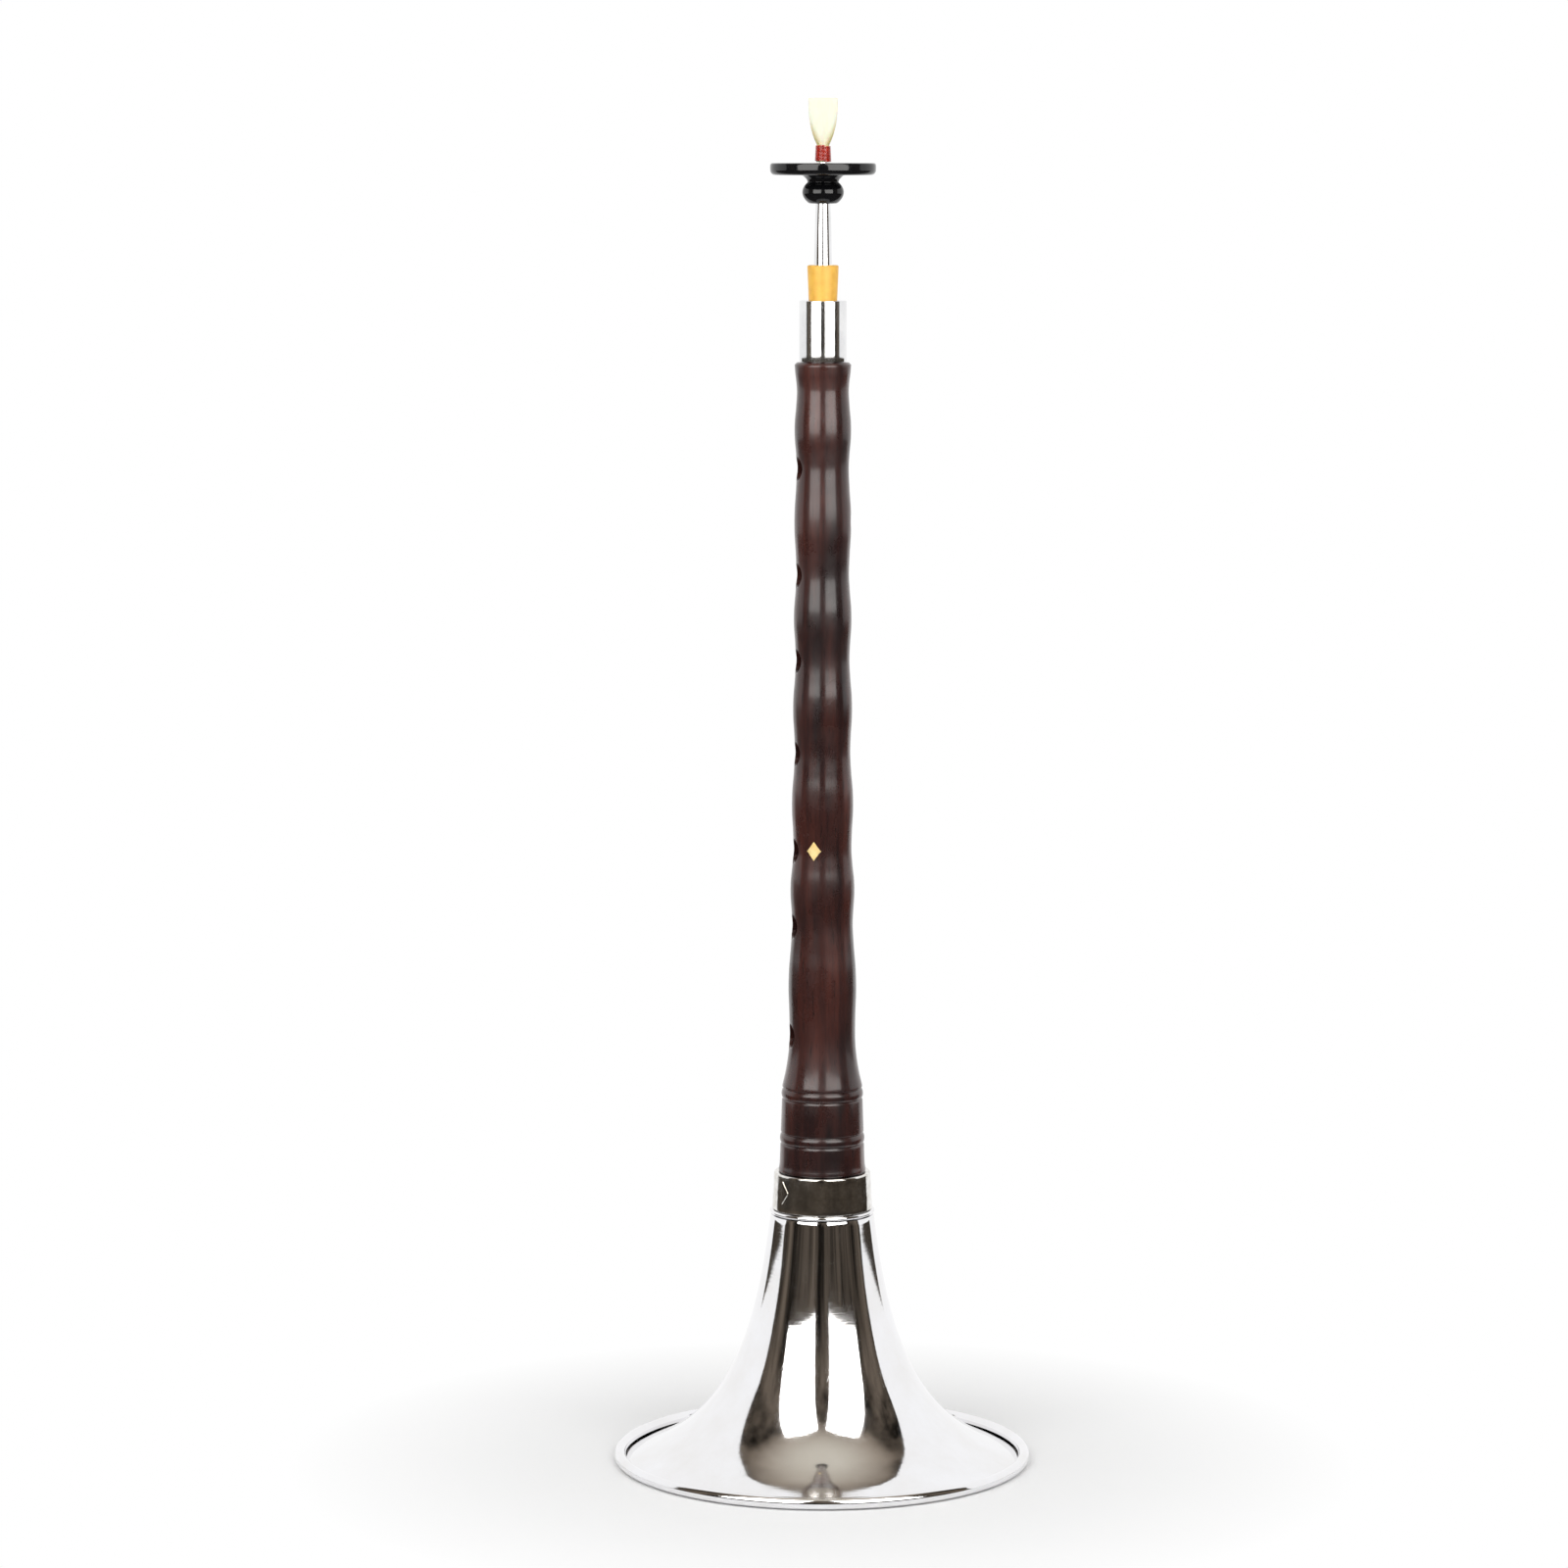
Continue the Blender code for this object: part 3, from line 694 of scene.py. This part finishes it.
def cane():
    """Scraped pale cane: a darker bark colour below a curved line, which is bark left on in the middle
    and painted shade on the lower sides that curve away, and fine fibres.
    """
    material, tree, shader = new_material("reed_cane", Subsurface_Weight=0.25, Subsurface_Scale=0.0012)
    across = put(tree, "ShaderNodeAttribute", attribute_name="across").outputs["Fac"]
    along = put(tree, "ShaderNodeAttribute", attribute_name="along").outputs["Fac"]
    # Painted shade: the curved line rises towards the sides, so the bark colour also darkens the lower
    # corners where the sides curve away; in the middle it is bark left on.
    curve = sum_of(tree, sum_of(tree, across, across, "MULTIPLY"), 0.34, "MULTIPLY")
    scrape_and_shade_share = remap(tree, sum_of(tree, along, curve, "SUBTRACT"), 0.10, 0.40, 0.0, 1.0)
    fibres = use(tree, FIBRES, Scale=2400.0)
    pale = blend(tree, scrape_and_shade_share, CANE_BARK_AND_SHADE, CANE_PALE)
    lined = blend(tree, remap(tree, fibres["Fibre"], 0.45, 0.75, 0.0, 0.14), pale, CANE_LINE)
    colour = blend(tree, sum_of(tree, fibres["Pore"], 0.10, "MULTIPLY"), lined, CANE_PORE)
    polish = remap(tree, fibres["Fibre"], 0.3, 0.7, 0.42, 0.62)
    set_look(tree, shader, colour, polish, fibres["Fibre"], 0.00004, 0.35)
    return material


def red_enamel():
    """Glossy red enamel with small uneven patches."""
    material, tree, shader = new_material("binding_enamel", Coat_Weight=0.8, Coat_Roughness=0.06)
    cloud = noise(tree, place_of(tree), 900.0, 4.0, 0.6)
    colour = blend(tree, remap(tree, cloud, 0.35, 0.7, 0.0, 1.0), ENAMEL_RED,
                   ENAMEL_DEEP)
    set_look(tree, shader, colour, remap(tree, cloud, 0.3, 0.7, 0.16, 0.30), cloud, 0.00002, 0.2)
    return material


def cork():
    """Grained cork with dark specks."""
    material, tree, shader = new_material("cork")
    cells = put(tree, "ShaderNodeTexVoronoi", {"Vector": place_of(tree), "Scale": 900.0})
    speck = remap(tree, noise(tree, place_of(tree), 700.0), 0.60, 0.66, 0.0, 1.0)
    grain = blend(tree, cells.outputs["Distance"], CORK_LIGHT, CORK_DARK)
    colour = blend(tree, speck, grain, CORK_SPECK)
    rough = remap(tree, cells.outputs["Distance"], 0.0, 0.7, 0.70, 0.95)
    set_look(tree, shader, colour, rough, cells.outputs["Distance"], 0.0001, 0.4)
    return material


MATERIALS = {name: metal(name, *look) for name, look in METALS.items()}
MATERIALS.update({
    "cork": cork(),
    "rosewood": rosewood(),
    "plug_yellow": yellow_plug(),
    "disc_black": black_disc(),
    "reed_cane": cane(),
    "binding_enamel": red_enamel(),
})


# Pieces, with the body and the node that each belongs to.

def dress(piece, body, slot, *nodes, material=None):
    """Gives a piece its material, its body and the nodes that it stands for."""
    piece.data.materials.clear()
    piece.data.materials.append(MATERIALS[material or slot])
    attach(piece, body)
    if nodes:
        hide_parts(*nodes)


def build_turned():
    """All turned nodes again, finer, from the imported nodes' own outlines."""
    sections = {}
    for name, (body, slot, steps) in TURNED.items():
        limit = WIRE_CORNER_LIMIT if name in WIRES else CORNER_LIMIT
        section = smooth_section(section_of(name), limit)
        sections[name] = section
        piece = turned("fine_" + name, section, steps)
        if name == "pipe":
            bore_holes(piece, section)
        dress(piece, body, slot, name)
        print("piece", name, "rows", len(section), "faces", len(piece.data.polygons))
    return sections


def build_reed():
    """Reed and its winding."""
    heights = [vertex.co.z for vertex in bpy.data.objects["reed"].data.vertices]
    dress(make_reed(min(heights), max(heights)), "reed", "reed_cane", "reed")
    dress(make_winding(section_of("reed_binding")), "reed", "binding_enamel", "reed_binding")


def build_marks(sections):
    """Plain diamonds: a gilt one on the pipe and a raised one on the band."""
    gilt = lozenge("pipe_diamond", sections["pipe"], *PIPE_MARK)
    dress(gilt, "pipe", "rosewood", material="gilt")
    raised = lozenge("band_diamond", sections["neck_band"], *BAND_MARK)
    dress(raised, "bell", "band_nickel")


# Studio.

def glow_material(name, colour, strength, spread=0.0):
    """Plain glow, with slow upright streaks if spread is given."""
    material = bpy.data.materials.new(name)
    material.use_nodes = True
    tree = material.node_tree
    tree.nodes.clear()
    glow = put(tree, "ShaderNodeEmission", {"Color": colour, "Strength": strength})
    if spread:
        streak = noise(tree, place_of(tree, (1.0, 1.0, 0.25)), 1.6, 5.0, 0.6)
        power = remap(tree, streak, 0.35, 0.7, strength * (1 - spread), strength * (1 + spread))
        tree.links.new(power, glow.inputs["Strength"])
    end = put(tree, "ShaderNodeOutputMaterial")
    tree.links.new(glow.outputs[0], end.inputs["Surface"])
    return material


def only_reflected(piece):
    """Keeps a studio card out of the picture and out of the soft light."""
    piece.visible_camera = False
    piece.visible_diffuse = False
    piece.visible_shadow = False
    piece.visible_volume_scatter = False


def build_panels():
    """Two tall soft panels, one on each side of the camera, with a lamp for each."""
    glow = glow_material("panel_glow", PANEL_WHITE, PANEL_GLOW)
    for side in (-1, 1):
        azimuth = CAMERA_AZIMUTH + side * PANEL_AZIMUTH
        out = direction(azimuth)
        across = Vector((-out.y, out.x, 0.0))
        middle = out * PANEL_REACH
        half = across * PANEL_WIDTH / 2
        corners = [
            middle - half + Vector((0, 0, PANEL_FOOT)),
            middle + half + Vector((0, 0, PANEL_FOOT)),
            middle + half - out * PANEL_LEAN + Vector((0, 0, PANEL_TOP)),
            middle - half - out * PANEL_LEAN + Vector((0, 0, PANEL_TOP)),
        ]
        panel = object_from("soft_panel", [tuple(c) for c in corners], [(0, 1, 2, 3)])
        panel.data.materials.append(glow)
        only_reflected(panel)
        lamp = bpy.data.lights.new("soft_lamp", "AREA")
        lamp.shape = "RECTANGLE"
        lamp.size, lamp.size_y = LAMP_SIZE
        lamp.energy = LAMP_POWER
        holder = bpy.data.objects.new("soft_lamp", lamp)
        holder.location = out * LAMP_REACH + Vector((0, 0, LAMP_HEIGHT))
        aim = Vector((0, 0, LAMP_AIM)) - holder.location
        holder.rotation_euler = aim.to_track_quat("-Z", "Y").to_euler()
        holder.visible_glossy = False
        bpy.context.collection.objects.link(holder)


def room_spread(rise):
    """How far the dark room reaches to each side at an angle above the ground."""
    for low, high in zip(ROOM_SPREADS, ROOM_SPREADS[1:]):
        if rise <= high[0]:
            share = (rise - low[0]) / (high[0] - low[0])
            return low[1] + (high[1] - low[1]) * share
    return ROOM_SPREADS[-1][1]


def room_material():
    """Brown room that turns to cream overhead, with darker seams along its edge."""
    material = glow_material("room_brown", ROOM_BROWN, ROOM_GLOW)
    tree = material.node_tree
    glow = next(node for node in tree.nodes if node.type == "EMISSION")
    place = put(tree, "ShaderNodeTexCoord").outputs["Object"]
    level = put(tree, "ShaderNodeSeparateXYZ", {"Vector": place}).outputs["Z"]
    edge = put(tree, "ShaderNodeAttribute", attribute_name="edge").outputs["Fac"]
    streak = noise(tree, place_of(tree, (1.0, 1.0, 0.25)), 1.6, 5.0, 0.6)
    brown = remap(tree, streak, 0.38, 0.66, ROOM_GLOW * 0.1, ROOM_GLOW * 2.6)
    overhead = remap(tree, level, ROOM_REACH * 0.86, ROOM_REACH * 0.995, 0.0, 1.0)
    ripple = single(tree, sum_of(tree, edge, SEAM_RIPPLE, "MULTIPLY"), "SINE")
    border = remap(tree, edge, 0.70, 0.80, 0.0, 1.0)
    seam = sum_of(tree, border, remap(tree, ripple, 0.2, 0.7, 0.35, 1.0), "MULTIPLY")
    cream = remap(tree, seam, 0.0, 1.0, CREAM_GLOW, SEAM_GLOW)
    power = sum_of(tree, sum_of(tree, brown, sum_of(tree, 1.0, overhead, "SUBTRACT"), "MULTIPLY"),
                   sum_of(tree, cream, overhead, "MULTIPLY"))
    tint = blend(tree, overhead, ROOM_BROWN, ROOM_CREAM)
    tree.links.new(tint, glow.inputs["Color"])
    tree.links.new(power, glow.inputs["Strength"])
    return material


def build_room():
    """The darker room behind the camera and its ground, which only reflections see."""
    out = direction(CAMERA_AZIMUTH)
    side = Vector((-out.y, out.x, 0.0))
    vertices = []
    edges = []
    lowest, highest = ROOM_SPREADS[0][0], ROOM_SPREADS[-1][0]
    for row in range(ROOM_ROWS + 1):
        rise = lowest + (highest - lowest) * row / ROOM_ROWS
        ahead = out * math.cos(math.radians(rise)) + Vector((0, 0, math.sin(math.radians(rise))))
        for step in range(ROOM_STEPS + 1):
            share = 2 * step / ROOM_STEPS - 1
            swing = math.radians(room_spread(rise) * share)
            vertices.append(tuple((ahead * math.cos(swing) + side * math.sin(swing)) * ROOM_REACH))
            edges.append(abs(share))
    row_length = ROOM_STEPS + 1
    faces = []
    for row in range(ROOM_ROWS):
        for step in range(ROOM_STEPS):
            low = step + row * row_length
            high = low + row_length
            faces.append((low, low + 1, high + 1, high))
    wall = object_from("dark_room", vertices, faces)
    measure = wall.data.attributes.new("edge", "FLOAT", "POINT")
    for index, value in enumerate(edges):
        measure.data[index].value = value
    wall.data.materials.append(room_material())
    corners = []
    for step in range(ROOM_STEPS + 1):
        azimuth = CAMERA_AZIMUTH + ROOM_SPREADS[0][1] * (2 * step / ROOM_STEPS - 1)
        for reach in (GROUND_REACH, ROOM_REACH):
            corners.append(tuple(direction(azimuth) * reach + Vector((0, 0, GROUND_HEIGHT))))
    strips = [(i * 2, i * 2 + 1, i * 2 + 3, i * 2 + 2) for i in range(ROOM_STEPS)]
    ground = object_from("dark_ground", corners, strips)
    ground.data.materials.append(glow_material("ground_brown", ROOM_BROWN, ROOM_GLOW, GROUND_STREAKS))
    for card in (wall, ground):
        only_reflected(card)


def build_floor():
    """Pale floor that takes the shadow near the horn and fades to the white surround."""
    half = FLOOR_SIZE / 2
    corners = [(x * half, y * half, FLOOR_LEVEL) for x, y in ((-1, -1), (1, -1), (1, 1), (-1, 1))]
    floor = object_from("pale_floor", corners, [(0, 1, 2, 3)])
    material, tree, shader = new_material("floor_white", Specular_IOR_Level=0.0)
    grain = noise(tree, place_of(tree), 900.0, 3.0, 0.6)
    colour = blend(tree, grain, FLOOR_PALE, FLOOR_WHITE)
    set_look(tree, shader, colour, remap(tree, grain, 0.3, 0.7, 0.45, 0.6), grain, 0.00003, 0.2)
    glow = put(tree, "ShaderNodeEmission", {"Strength": 1.0})
    reach = put(tree, "ShaderNodeVectorMath", {0: place_of(tree)}, operation="LENGTH").outputs["Value"]
    fade = remap(tree, reach, *FLOOR_FADE, 0.0, 1.0)
    joined = put(tree, "ShaderNodeMixShader", {0: fade, 1: shader.outputs[0], 2: glow.outputs[0]})
    tree.links.new(joined.outputs[0], tree.nodes["Material Output"].inputs["Surface"])
    floor.data.materials.append(material)


def build_world():
    """White surround for what the camera and reflections see, and a softer fill for the rest."""
    world = bpy.data.worlds.new("studio")
    bpy.context.scene.world = world
    world.use_nodes = True
    tree = world.node_tree
    paths = put(tree, "ShaderNodeLightPath").outputs
    seen = sum_of(tree, paths["Is Camera Ray"], paths["Is Glossy Ray"], "MAXIMUM")
    seen = sum_of(tree, seen, paths["Is Transmission Ray"], "MAXIMUM")
    power = remap(tree, seen, 0.0, 1.0, WORLD_FILL, 1.0)
    surround = tree.nodes["Background"]
    surround.inputs["Color"].default_value = (1.0, 1.0, 1.0, 1.0)
    tree.links.new(power, surround.inputs["Strength"])


def build_camera():
    """The photograph's camera."""
    lens = bpy.data.cameras.new("camera")
    lens.lens = CAMERA_LENS
    lens.sensor_width = SENSOR_WIDTH
    lens.clip_start = 0.01
    camera = bpy.data.objects.new("camera", lens)
    camera.location = direction(CAMERA_AZIMUTH) * CAMERA_REACH + Vector((0, 0, CAMERA_HEIGHT))
    heading = CAMERA_AZIMUTH + CAMERA_YAW
    camera.rotation_euler = (math.radians(90.0 - CAMERA_PITCH), 0.0, math.radians(heading))
    bpy.context.collection.objects.link(camera)
    bpy.context.scene.camera = camera


bpy.context.scene.view_settings.view_transform = "Standard"
build_world()
build_floor()
build_room()
build_panels()
build_camera()
all_sections = build_turned()
build_reed()
build_marks(all_sections)
